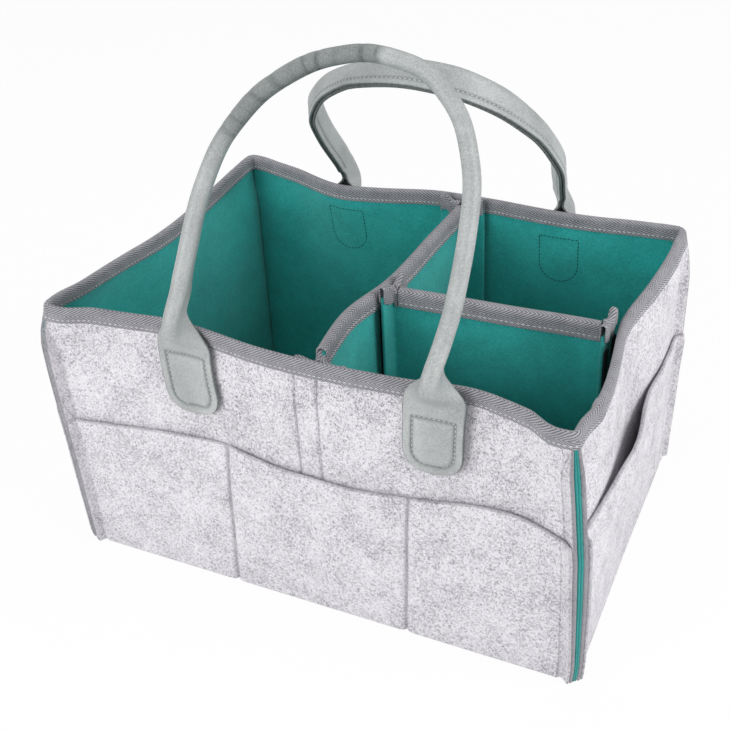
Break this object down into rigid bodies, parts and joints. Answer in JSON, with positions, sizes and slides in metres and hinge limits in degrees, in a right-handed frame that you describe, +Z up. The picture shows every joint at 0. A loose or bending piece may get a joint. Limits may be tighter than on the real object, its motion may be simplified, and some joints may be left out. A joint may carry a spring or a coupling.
{
  "type": "felt diaper bag",
  "caption": "Open-topped box bag of grey felt lined with teal felt, with outside pockets, a tape-bound rim, lift-out dividers and leather carrying handles.",
  "frame": {"origin": "on the floor under the middle of the bag", "axes": "+X to the right as seen from the front, along the long side; +Y from the front wall to the back wall; +Z up"},
  "size_m": [0.3458, 0.2452, 0.3402],
  "materials": {
    "grey_felt": "soft matted wool-like felt, pale marled grey",
    "teal_felt": "soft matted felt, teal",
    "grey_tape": "woven herringbone tape",
    "black_tape": "hook tape with a fine pile",
    "grey_leather": "smooth soft leather with a low sheen and pale stitching",
    "cord": "soft twisted fibre cord, hidden inside the handles"
  },
  "bodies": {
    "bag": {"back_handle_left_tab": "grey_leather", "back_handle_right_tab": "grey_leather", "back_liner_panel": "teal_felt", "back_outer_panel": "grey_felt", "back_pocket_panel": "grey_felt", "back_wall_tape": "black_tape", "base_liner_panel": "teal_felt", "base_outer_panel": "grey_felt", "front_handle_left_tab": "grey_leather", "front_handle_right_tab": "grey_leather", "front_liner_panel": "teal_felt", "front_outer_panel": "grey_felt", "front_pocket_panel": "grey_felt", "front_wall_tape": "black_tape", "left_liner_panel": "teal_felt", "left_outer_panel": "grey_felt", "left_pocket_panel": "grey_felt", "right_liner_panel": "teal_felt", "right_outer_panel": "grey_felt", "right_pocket_panel": "grey_felt", "right_wall_tape": "black_tape", "rim_binding": "grey_tape"},
    "main_divider": {"main_divider_back_left_tape": "black_tape", "main_divider_back_right_tape": "black_tape", "main_divider_binding": "grey_tape", "main_divider_front_left_tape": "black_tape", "main_divider_front_right_tape": "black_tape", "main_divider_left_layer": "teal_felt", "main_divider_right_layer": "teal_felt", "main_divider_side_tape": "black_tape"},
    "cross_divider": {"cross_divider_back_layer": "teal_felt", "cross_divider_binding": "grey_tape", "cross_divider_front_layer": "teal_felt", "cross_divider_left_back_tape": "black_tape", "cross_divider_left_front_tape": "black_tape", "cross_divider_right_back_tape": "black_tape", "cross_divider_right_front_tape": "black_tape"},
    "front_handle": {"front_handle_strap": "grey_leather", "front_handle_core": "cord"},
    "back_handle": {"back_handle_strap": "grey_leather", "back_handle_core": "cord"}
  },
  "joints": [
    {"name": "front_handle_swing", "type": "hinge", "parent": "bag", "child": "front_handle", "pos_m": [0, -0.10896, 0.18983], "axis": [1, 0, 0], "range_deg": [-5, 188]},
    {"name": "back_handle_swing", "type": "hinge", "parent": "bag", "child": "back_handle", "pos_m": [0, 0.11296, 0.19034], "axis": [-1, 0, 0], "range_deg": [-3, 200]},
    {"name": "main_divider_lift", "type": "slide", "parent": "bag", "child": "main_divider", "axis": [0, 0, 1], "range_m": [0, 0.105]},
    {"name": "cross_divider_lift", "type": "slide", "parent": "bag", "child": "cross_divider", "axis": [0, 0, 1], "range_m": [0, 0.105]}
  ]
}
